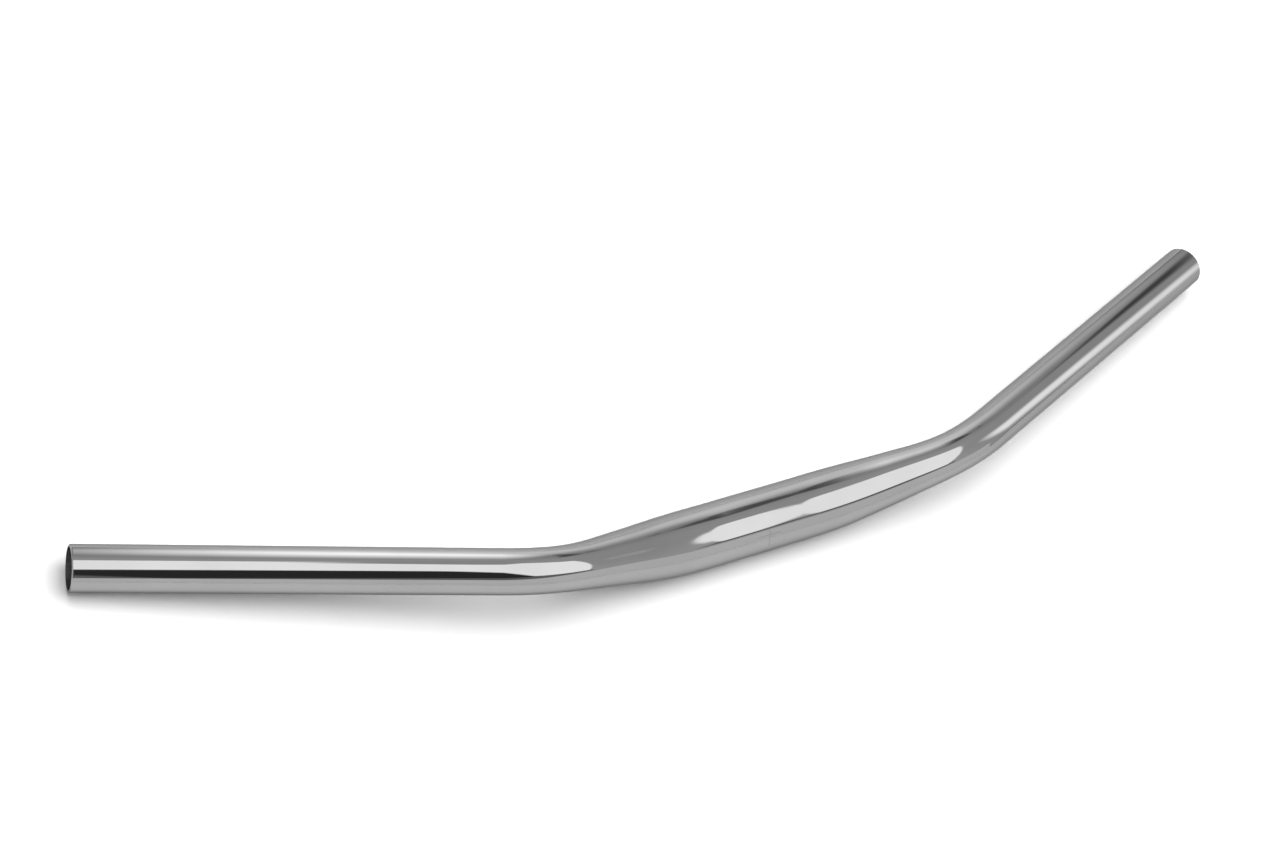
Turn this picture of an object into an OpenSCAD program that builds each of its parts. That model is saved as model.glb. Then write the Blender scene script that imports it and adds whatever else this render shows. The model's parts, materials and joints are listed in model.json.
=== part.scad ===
// Low-rise bicycle handlebar: one metal tube, fat where the stem grips it, drawn down to thin ends
// and bent twice on each side. It lies as it comes to rest on a flat surface, on the underside of
// its middle and on the rims of its two open ends. The origin is the middle of the clamp zone, X
// runs along the clamp axis and the grips sweep back towards +Y.

/* [Bar] */
// Width of the bar, between the centres of its two open ends
bar_w = 672; // [560:1:760]
// Angle by which the grips sweep back from the clamp axis
back_sweep = 20; // [14:0.5:30]
// Radius at which the edge of each open end is rounded
rim_round = 0.6; // [0.2:0.1:0.7]

/* [Grips] */
// Outer diameter of the grips
grip_d = 22.2; // [20:0.1:25]
// Wall of the tube at the grips
grip_wall = 1.2; // [0.8:0.1:3]
// Radius of the bend into the grip, on the tube's centre line
sweep_bend_r = 60; // [30:1:100]

/* [Clamp zone] */
// Outer diameter of the straight middle that the stem clamps
clamp_d = 31.8; // [25.4:0.1:35]
// Length of that straight middle
clamp_len = 93; // [50:1:120]
// Wall of the tube in the middle
clamp_wall = 2; // [1:0.1:4]

/* [Rise] */
// Angle by which the tube turns up at each side of the clamp zone
rise_angle = 13.5; // [8:0.5:30]
// Heading of that turn seen along the clamp axis, from 90 straight up towards 180 straight forward
rise_heading = 111; // [90:1:140]
// Radius of the bend next to the clamp zone, on the tube's centre line
rise_bend_r = 30; // [20:1:60]
// Length of the straight, tapering stretch between the two bends
taper_len = 57; // [30:1:80]

/* [Hidden] */
$fn = 96;

clamp_r = clamp_d / 2;
clamp_bore_r = clamp_r - clamp_wall;
grip_r = grip_d / 2;
grip_bore_r = grip_r - grip_wall;

// Directions of the tube with the bar level: out of the clamp, up the rise and along the grip
out_dir = [1, 0, 0];
rise_side = [0, cos(rise_heading), sin(rise_heading)];
rise_dir = cos(rise_angle) * out_dir + sin(rise_angle) * rise_side;
grip_dir = [cos(back_sweep), sin(back_sweep), 0];

// The second bend's angle, and its roll about the rise from the plane of the first bend
rise_in_plane = cos(rise_angle) * rise_side - sin(rise_angle) * out_dir;
sweep_bend_angle = acos(rise_dir * grip_dir);
sweep_roll = atan2(grip_dir * cross(out_dir, rise_side), grip_dir * rise_in_plane);

// Where the tube's centre line is after each stretch, one side
function bend_move(from_dir, to_dir, r, angle) =
    r * (from_dir * sin(angle)
         + (to_dir - from_dir * cos(angle)) * (1 - cos(angle)) / sin(angle));
rise_start = out_dir * clamp_len / 2;
taper_start = rise_start + bend_move(out_dir, rise_dir, rise_bend_r, rise_angle);
sweep_start = taper_start + rise_dir * taper_len;
grip_start = sweep_start + bend_move(rise_dir, grip_dir, sweep_bend_r, sweep_bend_angle);
grip_len = (bar_w / 2 - grip_start.x) / grip_dir.x;
grip_end = grip_start + grip_dir * grip_len;

// Height of an end's lowest point once the bar is rolled about the clamp axis, and the roll that
// brings that point level with the underside of the middle
function end_dip(roll) = grip_dir.y * sin(roll);
function end_low(roll) =
    grip_end.y * sin(roll) + grip_end.z * cos(roll)
    - rim_round * end_dip(roll)
    - (grip_r - rim_round) * sqrt(1 - end_dip(roll) ^ 2)
    - rim_round;
function settle(low, high, steps) =
    let (middle = (low + high) / 2)
    steps == 0 ? middle
    : end_low(middle) > -clamp_r ? settle(low, middle, steps - 1)
    : settle(middle, high, steps - 1);
rest_roll = settle(-60, 60, 40);

// How far the bore's cutter reaches past each open end
past_end = 1;
// Steps in the quarter round of the rim
rim_steps = 8;
// Each bend is this much thinner than the straights and reaches this far into them, so that the
// stretches of tube overlap and don't only touch
bend_step = 0.05;
bend_lap = 0.2;

// Tube axis along local Z, bending towards local X
module bend(r, bend_r, angle) {
    lap_angle = atan(bend_lap / bend_r);
    translate([bend_r, 0, 0])
        rotate([90, 0, 180])
            rotate(-lap_angle)
                rotate_extrude(angle = angle + 2 * lap_angle)
                    translate([bend_r, 0])
                        circle(r - bend_step);
}

module after_bend(bend_r, angle) {
    translate([bend_r * (1 - cos(angle)), 0, bend_r * sin(angle)])
        rotate([0, angle, 0])
            children();
}

// A round rod with the edge of its far end rounded
module rounded_rod(r, length, edge_r) {
    edge = [for (i = [0 : rim_steps])
        let (a = 90 * i / rim_steps)
        [r - edge_r + edge_r * cos(a), length - edge_r + edge_r * sin(a)]];
    rotate_extrude()
        polygon(concat([[0, 0], [r, 0]], edge, [[0, length]]));
}

// One side of the bar beyond the clamp zone, as a solid of the tube's outer or inner size, towards
// +X with way = 1 or -X with way = -1
module side(way, middle_r, end_r, end_len, edge_r) {
    translate([way * clamp_len / 2, 0, 0])
        rotate([0, way * 90, 0])
            rotate(90 + way * rise_heading) {
                bend(middle_r, rise_bend_r, rise_angle);
                after_bend(rise_bend_r, rise_angle)
                    rotate(way * sweep_roll) {
                        cylinder(h = taper_len, r1 = middle_r, r2 = end_r);
                        translate([0, 0, taper_len]) {
                            bend(end_r, sweep_bend_r, sweep_bend_angle);
                            after_bend(sweep_bend_r, sweep_bend_angle)
                                rounded_rod(end_r, end_len, edge_r);
                        }
                    }
            }
}

module whole_bar(middle_r, end_r, end_len, edge_r) {
    rotate([0, 90, 0])
        cylinder(h = clamp_len, r = middle_r, center = true);
    for (way = [-1, 1])
        side(way, middle_r, end_r, end_len, edge_r);
}

module handlebar() {
    color("silver")
        rotate([rest_roll, 0, 0])
            difference() {
                whole_bar(clamp_r, grip_r, grip_len, rim_round);
                whole_bar(clamp_bore_r, grip_bore_r, grip_len + past_end, 0);
            }
}

handlebar();
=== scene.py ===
"""A polished metal bicycle handlebar lying on a white floor under soft studio light."""

import json
import math

import bpy
import numpy as np
from mathutils import Matrix, Quaternion, Vector


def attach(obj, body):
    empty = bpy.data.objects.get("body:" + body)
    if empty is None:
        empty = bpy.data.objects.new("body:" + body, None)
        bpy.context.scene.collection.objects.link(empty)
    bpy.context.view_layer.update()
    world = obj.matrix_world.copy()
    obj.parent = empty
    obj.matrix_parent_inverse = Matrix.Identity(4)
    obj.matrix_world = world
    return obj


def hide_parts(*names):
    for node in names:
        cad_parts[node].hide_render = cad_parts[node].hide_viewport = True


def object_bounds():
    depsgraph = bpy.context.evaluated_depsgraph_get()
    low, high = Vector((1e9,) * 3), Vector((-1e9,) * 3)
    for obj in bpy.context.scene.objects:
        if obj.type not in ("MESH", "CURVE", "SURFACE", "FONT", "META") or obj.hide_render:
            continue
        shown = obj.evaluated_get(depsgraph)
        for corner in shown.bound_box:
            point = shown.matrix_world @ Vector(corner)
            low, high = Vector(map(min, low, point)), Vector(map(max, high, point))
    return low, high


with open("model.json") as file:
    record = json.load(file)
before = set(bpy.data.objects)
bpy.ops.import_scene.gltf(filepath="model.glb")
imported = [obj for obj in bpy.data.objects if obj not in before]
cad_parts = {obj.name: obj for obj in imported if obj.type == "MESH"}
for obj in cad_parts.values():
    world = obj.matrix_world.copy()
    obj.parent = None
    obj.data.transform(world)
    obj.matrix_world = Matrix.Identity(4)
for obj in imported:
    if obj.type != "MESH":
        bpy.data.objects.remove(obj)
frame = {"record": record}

cad_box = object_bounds()

# Lengths are in metres and angles in degrees

# Tube. The corners of its centre line are the solid's. The bends that round them are longer and
# softer here. The taper starts and stops the named lengths before their middles, eased there
SOLID_RISE_BEND_RADIUS = 0.030
SOLID_SWEEP_BEND_RADIUS = 0.060
RISE_BEND_LENGTH = 0.0573
RISE_BEND_SOFTNESS = 0.32
SWEEP_BEND_LENGTH = 0.054
SWEEP_BEND_SOFTNESS = 0.25
TAPER_BEFORE_LOWER_CORNER = 0.0009
TAPER_BEFORE_UPPER_CORNER = 0.0135
TAPER_EASE = 0.0289
RIM_RADIUS = 0.0006
WALL_AT_CLAMP = 0.002

# Mesh density
SIDES = 128
BEND_STEPS = 48
TAPER_STEPS = 24
CURVE_SHARES_PER_STEP = 16
CORNER_ROUNDS = 30
STRAIGHT_STEP = 0.006
RIM_STEPS = 8
INSIDE_SKIP = 2

# Centring mark etched on the front of the clamp zone: a short line along the bar across part of a
# ring. Its angle is measured round the clamp axis, from the back over the top. Shares of its width
# and length are at full strength, and the rest fades
MARK_ANGLE = 139.0
MARK_RING_UP = 10.0
MARK_RING_DOWN = 24.0
MARK_LINE_HALF = 0.007
MARK_WIDTH = 0.00028
MARK_FULL_ACROSS = 0.25
MARK_FULL_ALONG = 0.9
MARK_STRENGTH = 0.45

# Metal: its grey, how far clouds in the polish change that, its tint at a glancing angle, and the
# roughness of the polish, of rubbed streaks on it and of the mark
METAL_TONE = 0.3
METAL_TONE_CHANGE = 0.008
METAL_EDGE_TINT = 0.443
METAL_BLUE = 1.01
POLISH_ROUGHNESS = (0.035, 0.075)
STREAK_ROUGHNESS = 0.03
MARK_ROUGHNESS = 0.5
MARK_DARKENING = 0.6
POLISH_LINE_DEPTH = 0.000004
POLISH_LINE_STRENGTH = 0.35

# The dull inside of the tube
BORE_TONE = (0.10, 0.15)
BORE_BLUE = 0.98
BORE_ROUGHNESS = (0.42, 0.58)
BORE_LINE_DEPTH = 0.00001
BORE_LINE_STRENGTH = 0.5

# Noise in the metal: how fine it is per metre, along the tube and round it or the same all ways,
# and the two levels of it between which a look comes in
POLISH_LINES = (4200.0, 90.0)
CLOUDS = 38.0
CLOUDS_DULL_BETWEEN = (0.35, 0.75)
CLOUDS_DARKEN_BETWEEN = (0.3, 0.8)
STREAKS = (22.0, 900.0)
STREAKS_BETWEEN = (0.60, 0.78)
BORE_LINES = (30.0, 1500.0)
BORE_LINES_BETWEEN = (0.3, 0.7)

# Camera, placed round the point at clamp height that it looks at
CAMERA_AIM = (-0.0327, 0.0651, 0.0)
CAMERA_DISTANCE = 1.6352
CAMERA_AZIMUTH = -59.60
CAMERA_ELEVATION = 53.18
CAMERA_ROLL = 38.49
CAMERA_LENS = 93.37
CAMERA_CLIP = (0.01, 50.0)
SENSOR_WIDTH = 36.0

# Floor, lamp and room. The lamp and the fill carry the soft light. The levels of the room are what
# mirrors see: all round, and what is added in front, behind and towards +X, beyond a share of the
# way there. The room's grey takes a fifth off all of them and off the fill
FLOOR_SIDE = 8.0
FLOOR_WHITE = 0.92
FLOOR_WHITE_SHOWN = 1.27
FLOOR_GLOW_FROM = 0.6
FLOOR_GLOW_FULL_AT = 1.6
LAMP_CENTRE = (0.0, 0.10, 1.20)
LAMP_SIZE = 1.7
LAMP_WATTS = 19.0
ROOM_GREY = 0.8
ROOM_CHANGES_FROM = 0.2
ROOM_LEVEL = 1.027
ROOM_FRONT = 0.215
ROOM_BACK = -0.649
ROOM_SIDE = -0.143
ROOM_FILL = 0.30

# Lit panels and dark cards that the metal mirrors. A card's corners are tilts, which say how far a
# direction leans from straight up towards +X and towards +Y. It spans the four directions, in a
# plane that faces the bar at a distance. Strips and spots have a centre and half sizes
SPOT_SIDES = 48
CARDS = {
    "key_softbox": dict(
        corners=[(-37.3, 19.0), (32.8, 4.0), (36.9, -45.5), (-44.2, -40.3)],
        distance=0.76, soft=0.020, strength=2.38),
    "key_rim": dict(
        corners=[(-55.8, -35.2), (38.1, -43.2), (40.5, -47.4), (-60.7, -53.5)],
        distance=1.06, soft=0.014, strength=0.31),
    "camera_card": dict(
        corners=[(-67.9, -2.2), (-22.1, -21.1), (-3.5, -52.9), (-63.1, -41.8)],
        distance=0.41, soft=0.025, strength=0.06),
    "bar_1": dict(
        corners=[(32.7, 46.6), (34.6, 48.0), (40.5, 30.6), (27.9, 22.6)],
        distance=0.80, soft=0.045, strength=0.19),
    "bar_2": dict(
        corners=[(41.1, 44.8), (41.2, 44.8), (43.6, 31.3), (39.3, 30.2)],
        distance=0.92, soft=0.020, strength=0.42),
    "bar_3": dict(
        corners=[(65.7, 34.5), (78.0, 33.4), (79.9, 12.5), (54.1, 21.1)],
        distance=0.47, soft=0.049, strength=0.15),
    "top_card": dict(
        corners=[(-15.0, 8.9), (3.1, 22.3), (16.1, 12.7), (-2.7, 1.8)],
        distance=0.67, soft=0.039, strength=0.72),
}
STRIPS = {
    "front_card": dict(
        centre=(0.037, -1.076, 0.236), half=(1.563, 0.376), turn=2, soft=0.015, strength=1.24),
}
SPOTS = {
    "back_softbox": dict(
        centre=(0.424, 1.042, 0.592), half=(0.426, 0.932), turn=4, soft=1.000, strength=3.11),
    "back_glow": dict(
        centre=(0.446, 0.738, 0.192), half=(0.402, 0.553), turn=-64, soft=0.995, strength=1.61),
    "side_softbox": dict(
        centre=(1.102, -0.220, 0.402), half=(0.262, 0.629), turn=-8, soft=0.812, strength=2.40),
}


def mount(name):
    """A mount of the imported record."""
    return next(m for m in frame["record"]["mounts"] if m["name"] == name)


def unit(v):
    v = np.asarray(v, float)
    return v / np.linalg.norm(v)


def angle_between(a, b):
    return math.acos(float(np.clip(unit(a) @ unit(b), -1.0, 1.0)))


clamp = mount("clamp")
grip = mount("left_grip")
bore = mount("left_end_bore")
CLAMP_RADIUS = clamp["dims"]["r_mm"] / 1000
GRIP_RADIUS = grip["dims"]["r_mm"] / 1000
GRIP_BORE_RADIUS = bore["dims"]["r_mm"] / 1000
CLAMP_BORE_RADIUS = CLAMP_RADIUS - WALL_AT_CLAMP
CLAMP_DIRECTION = np.array(clamp["axis"])
GRIP_DIRECTION = np.array(bore["axis"])
BORE_HALF = bore["dims"]["length_mm"] / 2000
CLAMP_END = CLAMP_DIRECTION * clamp["dims"]["length_mm"] / 2000
GRIP_START = np.array(bore["pos_m"]) - GRIP_DIRECTION * BORE_HALF
GRIP_END = np.array(bore["pos_m"]) + GRIP_DIRECTION * BORE_HALF


def corners():
    """Where the clamp axis, the rise and the grip axis of one side would meet without bends."""
    rise = unit(GRIP_START - CLAMP_END)
    for _ in range(CORNER_ROUNDS):
        reach_1 = SOLID_RISE_BEND_RADIUS * math.tan(angle_between(CLAMP_DIRECTION, rise) / 2)
        reach_2 = SOLID_SWEEP_BEND_RADIUS * math.tan(angle_between(rise, GRIP_DIRECTION) / 2)
        lower = CLAMP_END + CLAMP_DIRECTION * reach_1
        upper = GRIP_START - GRIP_DIRECTION * reach_2
        rise = unit(upper - lower)
    return lower, upper, rise


def bend(corner, way_in, way_out, length, softness):
    """Centres and directions along the curve that rounds a corner.

    With softness 0 it is an arc of a circle; towards 1 its curvature swells up from nothing and
    dies away again."""
    turn = angle_between(way_in, way_out)
    side = unit(way_out - way_in * (way_in @ way_out))
    share = np.linspace(0, 1, BEND_STEPS * CURVE_SHARES_PER_STEP + 1)
    angles = turn * (share - softness * np.sin(2 * math.pi * share) / (2 * math.pi))
    step = length / (len(share) - 1)
    forward, sideways = (
        np.concatenate([[0], np.cumsum((part[1:] + part[:-1]) / 2)]) * step
        for part in (np.cos(angles), np.sin(angles)))
    reach = forward[-1] - sideways[-1] / math.tan(turn)
    forward, sideways, angles = (
        values[::CURVE_SHARES_PER_STEP, None] for values in (forward - reach, sideways, angles))
    centres = corner + way_in * forward + side * sideways
    directions = way_in * np.cos(angles) + side * np.sin(angles)
    return centres, directions


def straight(start, end, direction, steps):
    """Centres and directions between two points, without the points themselves."""
    share = np.linspace(0, 1, steps + 1)[1:-1, None]
    centres = start + (end - start) * share
    return centres, np.tile(direction, (len(centres), 1))


def centre_line():
    """Centres, directions and distances from the middle, out along one side of the bar."""
    lower, upper, rise = corners()
    first = bend(lower, CLAMP_DIRECTION, rise, RISE_BEND_LENGTH, RISE_BEND_SOFTNESS)
    second = bend(upper, rise, GRIP_DIRECTION, SWEEP_BEND_LENGTH, SWEEP_BEND_SOFTNESS)
    middle = np.zeros(3)
    middle_steps = round(np.linalg.norm(first[0][0]) / STRAIGHT_STEP)
    grip_steps = round(np.linalg.norm(GRIP_END - second[0][-1]) / STRAIGHT_STEP)
    pieces = [
        (middle[None], CLAMP_DIRECTION[None]),
        straight(middle, first[0][0], CLAMP_DIRECTION, middle_steps),
        first,
        straight(first[0][-1], second[0][0], rise, TAPER_STEPS),
        second,
        straight(second[0][-1], GRIP_END, GRIP_DIRECTION, grip_steps),
        (GRIP_END[None], GRIP_DIRECTION[None]),
    ]
    centres = np.concatenate([p[0] for p in pieces])
    directions = np.concatenate([p[1] for p in pieces])
    steps = np.linalg.norm(np.diff(centres, axis=0), axis=1)
    along = np.concatenate([[0.0], np.cumsum(steps)])
    starts = np.concatenate([[0], np.cumsum([len(p[0]) for p in pieces])])
    at_lower = along[starts[2] + BEND_STEPS // 2]
    at_upper = along[starts[4] + BEND_STEPS // 2]
    taper = at_lower - TAPER_BEFORE_LOWER_CORNER, at_upper - TAPER_BEFORE_UPPER_CORNER
    return centres, directions, along, taper


def ramp(x, x0, x1, ease):
    """0 before x0, 1 after x1, straight between them and rounded over a length at both ends."""
    def hinge(t):
        curved = (np.clip(t, -ease / 2, ease / 2) + ease / 2) ** 2 / (2 * ease)
        return np.where(t > ease / 2, t, curved)

    return (hinge(x - x0) - hinge(x - x1)) / (x1 - x0)


def frames_along(directions):
    """Two directions across the tube at each station, carried along it without twist."""
    across = np.empty_like(directions)
    across[0] = unit(np.cross((0.0, 0.0, 1.0), directions[0]))
    for i in range(1, len(directions)):
        across[i] = unit(across[i - 1] - directions[i] * (across[i - 1] @ directions[i]))
    return across, np.cross(directions, across)


def whole_line():
    """The centre line from the -X end to the +X end, with the middle once."""
    centres, directions, along, taper = centre_line()
    mirror = np.array([-1.0, 1.0, 1.0])
    return (
        np.concatenate([(centres * mirror)[:0:-1], centres]),
        np.concatenate([(-directions * mirror)[:0:-1], directions]),
        np.concatenate([-along[:0:-1], along]),
        taper,
    )


def build_tube():
    """The whole bar as one closed mesh: outside, rim, inside and rim."""
    centres, directions, along, taper = whole_line()
    share = ramp(np.abs(along), *taper, TAPER_EASE)
    outer = CLAMP_RADIUS + (GRIP_RADIUS - CLAMP_RADIUS) * share
    inner = CLAMP_BORE_RADIUS + (GRIP_BORE_RADIUS - CLAMP_BORE_RADIUS) * share
    outer_slope = np.gradient(outer, along)
    curve = np.gradient(directions, along, axis=0)
    across, other = frames_along(directions)

    # The rounded rim: steps back from the end, radii, and its normal's outward and forward parts
    rim_angles = np.radians(np.linspace(0, 90, RIM_STEPS + 1))
    rim_out, rim_on = np.cos(rim_angles), np.sin(rim_angles)
    rim_radii = GRIP_RADIUS - RIM_RADIUS * (1 - rim_out)
    rim = list(zip(RIM_RADIUS * (1 - rim_on), rim_radii, rim_out, rim_on))

    # Rings round the closed loop: over the -X rim, outside to +X, over the +X rim, back inside.
    # A ring is a station, a step along it, a radius and its normal's outward and forward parts
    last = len(centres) - 1
    loop = [(0, back, r, out, -on) for back, r, out, on in reversed(rim)]
    loop += [(i, 0.0, outer[i], 1.0, -outer_slope[i]) for i in range(1, last)]
    loop += [(last, -back, r, out, on) for back, r, out, on in rim]
    outside_rings = len(loop)
    inside = sorted({0, last, *range(0, last, INSIDE_SKIP)}, reverse=True)
    loop += [(i, 0.0, inner[i], -1.0, 0.0) for i in inside]

    station = np.array([ring[0] for ring in loop])
    step, radius, out_part, on_part = (
        np.array([ring[k] for ring in loop])[:, None, None] for k in range(1, 5))
    turns = np.linspace(0, 2 * math.pi, SIDES + 1)
    out = (across[station][:, None] * np.cos(turns[:-1])[None, :, None]
           + other[station][:, None] * np.sin(turns[:-1])[None, :, None])
    on = directions[station][:, None]
    points = centres[station][:, None] + on * step + out * radius
    # Beside the inside of a bend a step along the line is a shorter step along the surface
    shorter = 1 - radius * (curve[station][:, None] * out).sum(axis=-1, keepdims=True)
    normals = out * out_part * np.where(out_part == 1.0, shorter, 1.0) + on * on_part
    normals /= np.linalg.norm(normals, axis=-1, keepdims=True)

    count = len(loop)
    ring = np.arange(count)[:, None]
    side = np.arange(SIDES)[None]
    next_ring, next_side = (ring + 1) % count, (side + 1) % SIDES
    round_a_face = (ring, side), (ring, next_side), (next_ring, next_side), (next_ring, side)
    faces = np.stack([r * SIDES + s for r, s in round_a_face], axis=-1).reshape(-1, 4)
    mesh = bpy.data.meshes.new("handlebar_tube")
    mesh.from_pydata(points.reshape(-1, 3).tolist(), [], faces.tolist())
    in_bore = np.repeat(np.arange(count) >= outside_rings, SIDES)
    in_bore[-SIDES:] = False
    mesh.polygons.foreach_set("material_index", in_bore.astype(np.int32))
    mesh.polygons.foreach_set("use_smooth", np.ones(len(faces), bool))

    # Place on the tube: metres along it, and round it in metres of the clamp zone's surface from
    # the centring mark's line. The seam is opposite the mark
    middle = len(along) // 2
    mark_angle = math.radians(MARK_ANGLE)
    mark_way = np.array([0.0, math.cos(mark_angle), math.sin(mark_angle)])
    mark_turn = math.atan2(float(mark_way @ other[middle]), float(mark_way @ across[middle]))
    around = (turns - mark_turn) * CLAMP_RADIUS
    u = along[station] + step[:, 0, 0]
    place = np.empty((count, SIDES, 4, 2))
    side_place, next_place = around[:-1], around[1:]
    wrap = 2 * math.pi * CLAMP_RADIUS
    twice = side_place + next_place
    shift = np.where(twice > wrap, -wrap, np.where(twice < -wrap, wrap, 0.0))
    side_place, next_place = side_place + shift, next_place + shift
    place[:, :, 0, 0] = place[:, :, 1, 0] = u[:, None]
    place[:, :, 2, 0] = place[:, :, 3, 0] = np.roll(u, -1)[:, None]
    place[:, :, 0, 1] = place[:, :, 3, 1] = side_place
    place[:, :, 1, 1] = place[:, :, 2, 1] = next_place
    layer = mesh.uv_layers.new(name="place")
    layer.data.foreach_set("uv", place.reshape(-1).astype(np.float32))
    mesh.normals_split_custom_set_from_vertices(normals.reshape(-1, 3).tolist())
    mesh.update()
    return mesh


class Nodes:
    """A node tree with short ways to add to it.

    An input is named by its socket, with _ for a space, or by its number after a _."""

    def __init__(self, tree):
        self.tree = tree
        tree.nodes.clear()

    def add(self, kind, settings=None, **inputs):
        node = self.tree.nodes.new(kind)
        for key, value in (settings or {}).items():
            setattr(node, key, value)
        for key, value in inputs.items():
            socket = node.inputs[int(key[1:]) if key[0] == "_" else key.replace("_", " ")]
            if isinstance(value, bpy.types.NodeSocket):
                self.tree.links.new(value, socket)
            else:
                socket.default_value = value
        return node

    def math(self, operation, a, b=0.0):
        return self.add("ShaderNodeMath", {"operation": operation}, _0=a, _1=b).outputs[0]

    def step(self, value, start, stop, low=0.0, high=1.0):
        """Smoothly from low to high while the value goes from start to stop."""
        return self.add(
            "ShaderNodeMapRange", {"interpolation_type": "SMOOTHSTEP"},
            Value=value, From_Min=start, From_Max=stop, To_Min=low, To_Max=high).outputs[0]


def new_material(name):
    mat = bpy.data.materials.new(name)
    mat.use_nodes = True
    return mat, Nodes(mat.node_tree)


def noise(n, vector, scale, detail=2.0):
    return n.add("ShaderNodeTexNoise", Vector=vector, Scale=scale, Detail=detail).outputs[0]


def stretched(n, vector, factors):
    multiply = n.add("ShaderNodeVectorMath", {"operation": "MULTIPLY"}, _0=vector, _1=factors)
    return multiply.outputs[0]


def grey(n, tone, blue):
    """A grey whose blue is a little more or less than the rest."""
    blue_tone = n.math("MULTIPLY", tone, blue)
    return n.add("ShaderNodeCombineColor", Red=tone, Green=tone, Blue=blue_tone).outputs[0]


def polished_metal():
    mat, n = new_material("polished_metal")
    place = n.add("ShaderNodeUVMap", {"uv_map": "place"}).outputs[0]
    solid = n.add("ShaderNodeTexCoord").outputs["Object"]
    split = n.add("ShaderNodeSeparateXYZ", Vector=place)
    off_middle = n.math("ABSOLUTE", split.outputs[0])
    off_line = n.math("ABSOLUTE", split.outputs[1])

    # The centring mark: a short line along the bar across a piece of a ring
    line = n.math(
        "MULTIPLY",
        n.step(off_line, MARK_WIDTH, MARK_WIDTH * MARK_FULL_ACROSS),
        n.step(off_middle, MARK_LINE_HALF, MARK_LINE_HALF * MARK_FULL_ALONG))
    ring_top = math.radians(MARK_RING_UP) * CLAMP_RADIUS
    ring_foot = math.radians(MARK_RING_DOWN) * CLAMP_RADIUS
    ring_half = (ring_foot + ring_top) / 2
    off_ring = n.math("ABSOLUTE", n.math("SUBTRACT", split.outputs[1], (ring_foot - ring_top) / 2))
    ring = n.math(
        "MULTIPLY",
        n.step(off_middle, MARK_WIDTH, MARK_WIDTH * MARK_FULL_ACROSS),
        n.step(off_ring, ring_half, ring_half * MARK_FULL_ALONG))
    mark = n.math("MULTIPLY", n.math("MAXIMUM", line, ring), MARK_STRENGTH)

    # Polish: fine lines round the tube, soft cloudy patches and a few faint rubbed streaks
    lines = noise(n, stretched(n, place, (*POLISH_LINES, 0.0)), 1.0, 3.0)
    clouds = noise(n, solid, CLOUDS, 4.0)
    streaks = noise(n, stretched(n, place, (*STREAKS, 0.0)), 1.0, 2.0)
    rubbed = n.step(streaks, *STREAKS_BETWEEN, 0.0, STREAK_ROUGHNESS)
    rough = n.math("ADD", n.step(clouds, *CLOUDS_DULL_BETWEEN, *POLISH_ROUGHNESS), rubbed)
    rough = n.math("ADD", rough, n.math("MULTIPLY", mark, MARK_ROUGHNESS))
    light, dark = METAL_TONE + METAL_TONE_CHANGE, METAL_TONE - METAL_TONE_CHANGE
    tone = n.step(clouds, *CLOUDS_DARKEN_BETWEEN, light, dark)
    left_light = n.math("SUBTRACT", 1.0, n.math("MULTIPLY", mark, MARK_DARKENING))
    colour = grey(n, n.math("MULTIPLY", tone, left_light), METAL_BLUE)
    bump = n.add(
        "ShaderNodeBump", Strength=POLISH_LINE_STRENGTH, Distance=POLISH_LINE_DEPTH, Height=lines)
    shader = n.add(
        "ShaderNodeBsdfPrincipled", Metallic=1.0, Roughness=rough,
        Specular_Tint=(METAL_EDGE_TINT, METAL_EDGE_TINT, METAL_EDGE_TINT, 1.0),
        Base_Color=colour, Normal=bump.outputs[0])
    n.add("ShaderNodeOutputMaterial", Surface=shader.outputs[0])
    return mat


def bore_metal():
    mat, n = new_material("bore_metal")
    place = n.add("ShaderNodeUVMap", {"uv_map": "place"}).outputs[0]
    drawn = noise(n, stretched(n, place, (*BORE_LINES, 0.0)), 1.0, 3.0)
    colour = grey(n, n.step(drawn, *BORE_LINES_BETWEEN, *BORE_TONE), BORE_BLUE)
    rough = n.step(drawn, *BORE_LINES_BETWEEN, *BORE_ROUGHNESS)
    bump = n.add(
        "ShaderNodeBump", Strength=BORE_LINE_STRENGTH, Distance=BORE_LINE_DEPTH, Height=drawn)
    shader = n.add(
        "ShaderNodeBsdfPrincipled", Metallic=1.0, Roughness=rough, Base_Color=colour,
        Normal=bump.outputs[0])
    n.add("ShaderNodeOutputMaterial", Surface=shader.outputs[0])
    return mat


def seen_directly(n):
    """1 for camera, mirror and see-through rays, 0 for the rays that carry soft light."""
    path = n.add("ShaderNodeLightPath").outputs
    seen = n.math("MAXIMUM", path["Is Camera Ray"], path["Is Glossy Ray"])
    seen = n.math("MAXIMUM", seen, path["Is Transmission Ray"])
    return n.math("MULTIPLY", seen, n.math("LESS_THAN", path["Diffuse Depth"], 0.5))


def link(name, data):
    """A new object in the scene, of a mesh, a light or a camera."""
    thing = bpy.data.objects.new(name, data)
    bpy.context.scene.collection.objects.link(thing)
    return thing


def rectangle(half_x, half_y):
    return [(sx * half_x, sy * half_y) for sx, sy in ((-1, -1), (1, -1), (1, 1), (-1, 1))]


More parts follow.
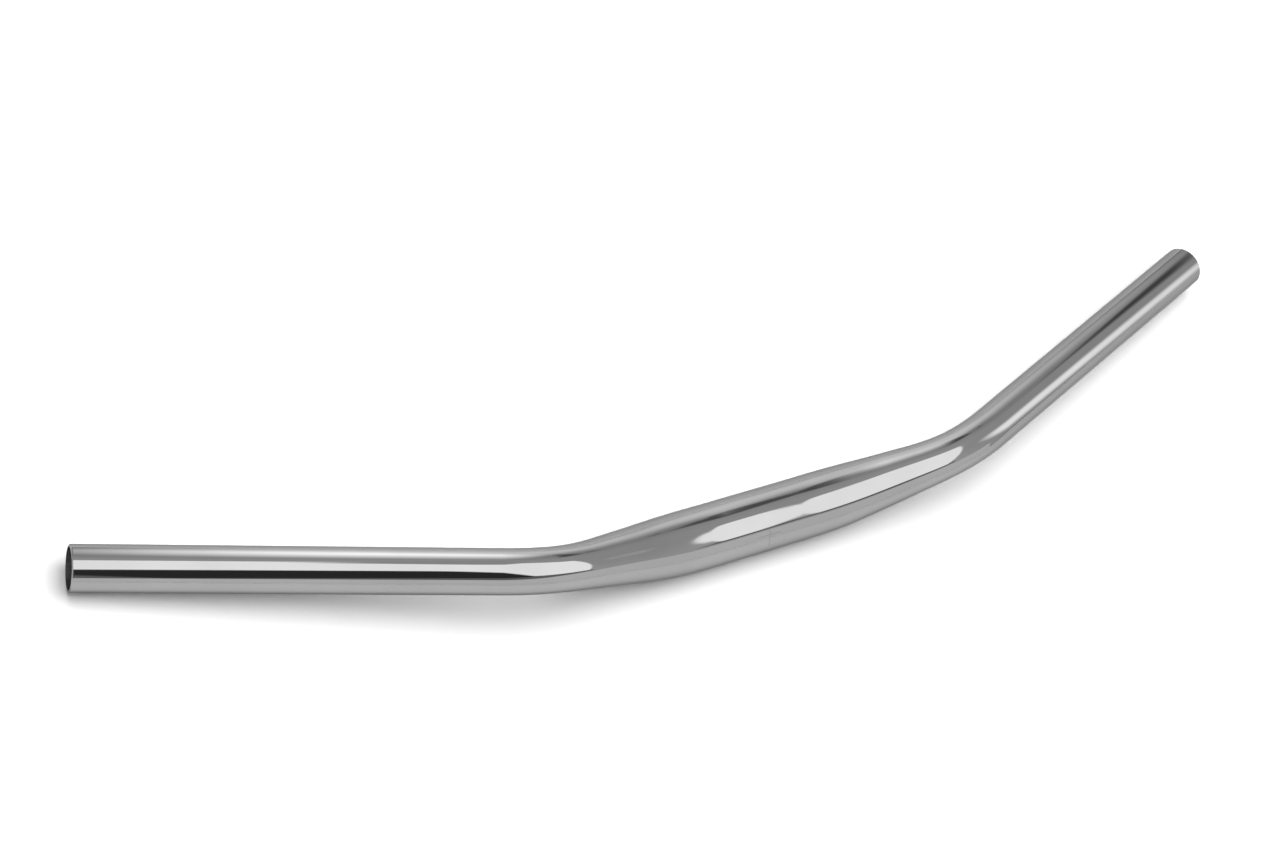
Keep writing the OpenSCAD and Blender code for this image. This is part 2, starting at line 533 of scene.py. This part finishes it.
def build_floor(height):
    """White paper, shown whiter to the camera and to mirrors so that only the shadow is less than
    white. Beyond the lamp's reach it glows instead."""
    mesh = bpy.data.meshes.new("floor")
    outline = rectangle(FLOOR_SIDE / 2, FLOOR_SIDE / 2)
    mesh.from_pydata([(x, y, height) for x, y in outline], [], [(0, 1, 2, 3)])
    mat, n = new_material("floor_white")
    seen = seen_directly(n)
    white = n.add("ShaderNodeMapRange", Value=seen, To_Min=FLOOR_WHITE, To_Max=FLOOR_WHITE_SHOWN)
    paper = n.add("ShaderNodeBsdfDiffuse", Color=white.outputs[0])
    place = n.add("ShaderNodeTexCoord").outputs["Object"]
    away = n.add("ShaderNodeVectorMath", {"operation": "LENGTH"}, _0=place).outputs["Value"]
    far = n.step(away, FLOOR_GLOW_FROM, FLOOR_GLOW_FULL_AT)
    glow = n.add("ShaderNodeEmission", Strength=n.math("MULTIPLY", seen, far))
    both = n.add("ShaderNodeAddShader", _0=paper.outputs[0], _1=glow.outputs[0])
    n.add("ShaderNodeOutputMaterial", Surface=both.outputs[0])
    mesh.materials.append(mat)
    link("floor", mesh)


def build_lamp():
    """A wide round softbox overhead. The metal mirrors the panels instead of it."""
    data = bpy.data.lights.new("overhead_softbox", "AREA")
    data.shape = "DISK"
    data.size = LAMP_SIZE
    data.energy = LAMP_WATTS
    lamp = link("overhead_softbox", data)
    lamp.location = LAMP_CENTRE
    lamp.visible_camera = False
    lamp.visible_glossy = False


def build_room():
    """The world: uneven where mirrors see it, even where it lights, and pale to the camera."""
    world = bpy.data.worlds.new("studio")
    bpy.context.scene.world = world
    world.use_nodes = True
    n = Nodes(world.node_tree)
    way = n.add("ShaderNodeTexCoord").outputs["Generated"]
    split = n.add("ShaderNodeSeparateXYZ", Vector=way)
    side, depth = split.outputs[0], split.outputs[1]
    front = n.step(depth, -ROOM_CHANGES_FROM, -1.0, ROOM_LEVEL, ROOM_LEVEL + ROOM_FRONT)
    behind = n.step(depth, ROOM_CHANGES_FROM, 1.0, 0.0, ROOM_BACK)
    beside = n.step(side, ROOM_CHANGES_FROM, 1.0, 0.0, ROOM_SIDE)
    level = n.math("ADD", front, n.math("ADD", behind, beside))
    seen = seen_directly(n)
    fill = n.math("MULTIPLY", n.math("SUBTRACT", 1.0, seen), ROOM_FILL)
    strength = n.math("ADD", n.math("MULTIPLY", level, seen), fill)
    shown = n.add("ShaderNodeLightPath").outputs["Is Camera Ray"]
    back = n.add(
        "ShaderNodeBackground", Color=(ROOM_GREY, ROOM_GREY, ROOM_GREY, 1.0),
        Strength=n.math("MAXIMUM", strength, shown))
    n.add("ShaderNodeOutputWorld", Surface=back.outputs[0])


def facing_frame(centre, turn=0.0):
    """Axes of a panel that faces the bar's middle with its Y axis up, turned in its plane."""
    z = -unit(centre)
    x = unit(np.cross((0.0, 0.0, 1.0), z))
    y = np.cross(z, x)
    c, s = math.cos(math.radians(turn)), math.sin(math.radians(turn))
    return c * x + s * y, -s * x + c * y, z


def tilted(tilt):
    """The direction that leans from straight up by a tilt towards +X and +Y."""
    lean = math.radians(math.hypot(*tilt))
    share = math.sin(lean) / math.hypot(*tilt)
    return np.array([tilt[0] * share, tilt[1] * share, math.cos(lean)])


def build_panel(name, centre, axes, outline, strength, cover):
    """A flat panel that only mirrors see, see-through where the cover is 0."""
    mesh = bpy.data.meshes.new(name)
    mesh.from_pydata([(x, y, 0.0) for x, y in outline], [], [tuple(range(len(outline)))])
    mat, n = new_material(name)
    place = n.add("ShaderNodeTexCoord").outputs["Object"]
    clear = n.add("ShaderNodeBsdfTransparent")
    glow = n.add("ShaderNodeEmission", Strength=n.math("MULTIPLY", seen_directly(n), strength))
    mix = n.add("ShaderNodeMixShader", _0=cover(n, place), _1=clear.outputs[0], _2=glow.outputs[0])
    n.add("ShaderNodeOutputMaterial", Surface=mix.outputs[0])
    mesh.materials.append(mat)
    panel = link(name, mesh)
    turned = Matrix([list(row) for row in np.array(axes).T]).to_4x4()
    panel.matrix_world = Matrix.Translation(centre) @ turned
    panel.visible_camera = False
    panel.visible_diffuse = False
    panel.visible_shadow = False


def soft_sided(outline, soft):
    """Cover that fades in over a margin inside each side of an outline."""
    area = sum(a[0] * b[1] - b[0] * a[1] for a, b in zip(outline, outline[1:] + outline[:1]))

    def cover(n, place):
        whole = None
        for a, b in zip(outline, outline[1:] + outline[:1]):
            inward = unit((a[1] - b[1], b[0] - a[0])) * math.copysign(1, area)
            dot = n.add(
                "ShaderNodeVectorMath", {"operation": "DOT_PRODUCT"}, _0=place, _1=(*inward, 0.0))
            start = float(inward @ np.array(a))
            part = n.step(dot.outputs["Value"], start, start + soft)
            whole = part if whole is None else n.math("MULTIPLY", whole, part)
        return whole

    return cover


def build_card(name, corners, distance, soft, strength):
    ways = [tilted(c) for c in corners]
    centre = unit(sum(ways)) * distance
    axes = facing_frame(centre)
    points = [way * distance ** 2 / (way @ centre) - centre for way in ways]
    outline = [(float(p @ axes[0]), float(p @ axes[1])) for p in points]
    build_panel(name, centre, axes, outline, strength, soft_sided(outline, soft))


def build_strip(name, centre, half, turn, soft, strength):
    axes = facing_frame(centre, turn)
    outline = rectangle(*half)
    build_panel(name, centre, axes, outline, strength, soft_sided(outline, soft))


def build_spot(name, centre, half, turn, soft, strength):
    turns = np.linspace(0, 2 * math.pi, SPOT_SIDES + 1)[:-1]
    outline = [(half[0] * math.cos(a), half[1] * math.sin(a)) for a in turns]

    def cover(n, place):
        even = stretched(n, place, (1 / half[0], 1 / half[1], 0.0))
        out = n.add("ShaderNodeVectorMath", {"operation": "LENGTH"}, _0=even).outputs["Value"]
        return n.step(out, 1.0, 1.0 - soft)

    build_panel(name, centre, facing_frame(centre, turn), outline, strength, cover)


def build_camera():
    data = bpy.data.cameras.new("camera")
    camera = link("camera", data)
    bpy.context.scene.camera = camera
    data.sensor_width = SENSOR_WIDTH
    data.lens = CAMERA_LENS
    azimuth, elevation = math.radians(CAMERA_AZIMUTH), math.radians(CAMERA_ELEVATION)
    back = Vector((
        math.sin(azimuth) * math.cos(elevation),
        -math.cos(azimuth) * math.cos(elevation),
        math.sin(elevation),
    ))
    camera.location = Vector(CAMERA_AIM) + back * CAMERA_DISTANCE
    camera.rotation_mode = "QUATERNION"
    roll = Quaternion((0, 0, 1), math.radians(CAMERA_ROLL))
    camera.rotation_quaternion = (-back).to_track_quat("-Z", "Y") @ roll
    data.clip_start, data.clip_end = CAMERA_CLIP


bar = link("handlebar_tube", build_tube())
bar.data.materials.append(polished_metal())
bar.data.materials.append(bore_metal())
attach(bar, "root")
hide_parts("handlebar")

build_camera()
build_floor(cad_box[0].z)
build_room()
build_lamp()
for name, values in CARDS.items():
    build_card(name, **values)
for name, values in STRIPS.items():
    build_strip(name, **values)
for name, values in SPOTS.items():
    build_spot(name, **values)

bpy.context.scene.view_settings.view_transform = "Standard"
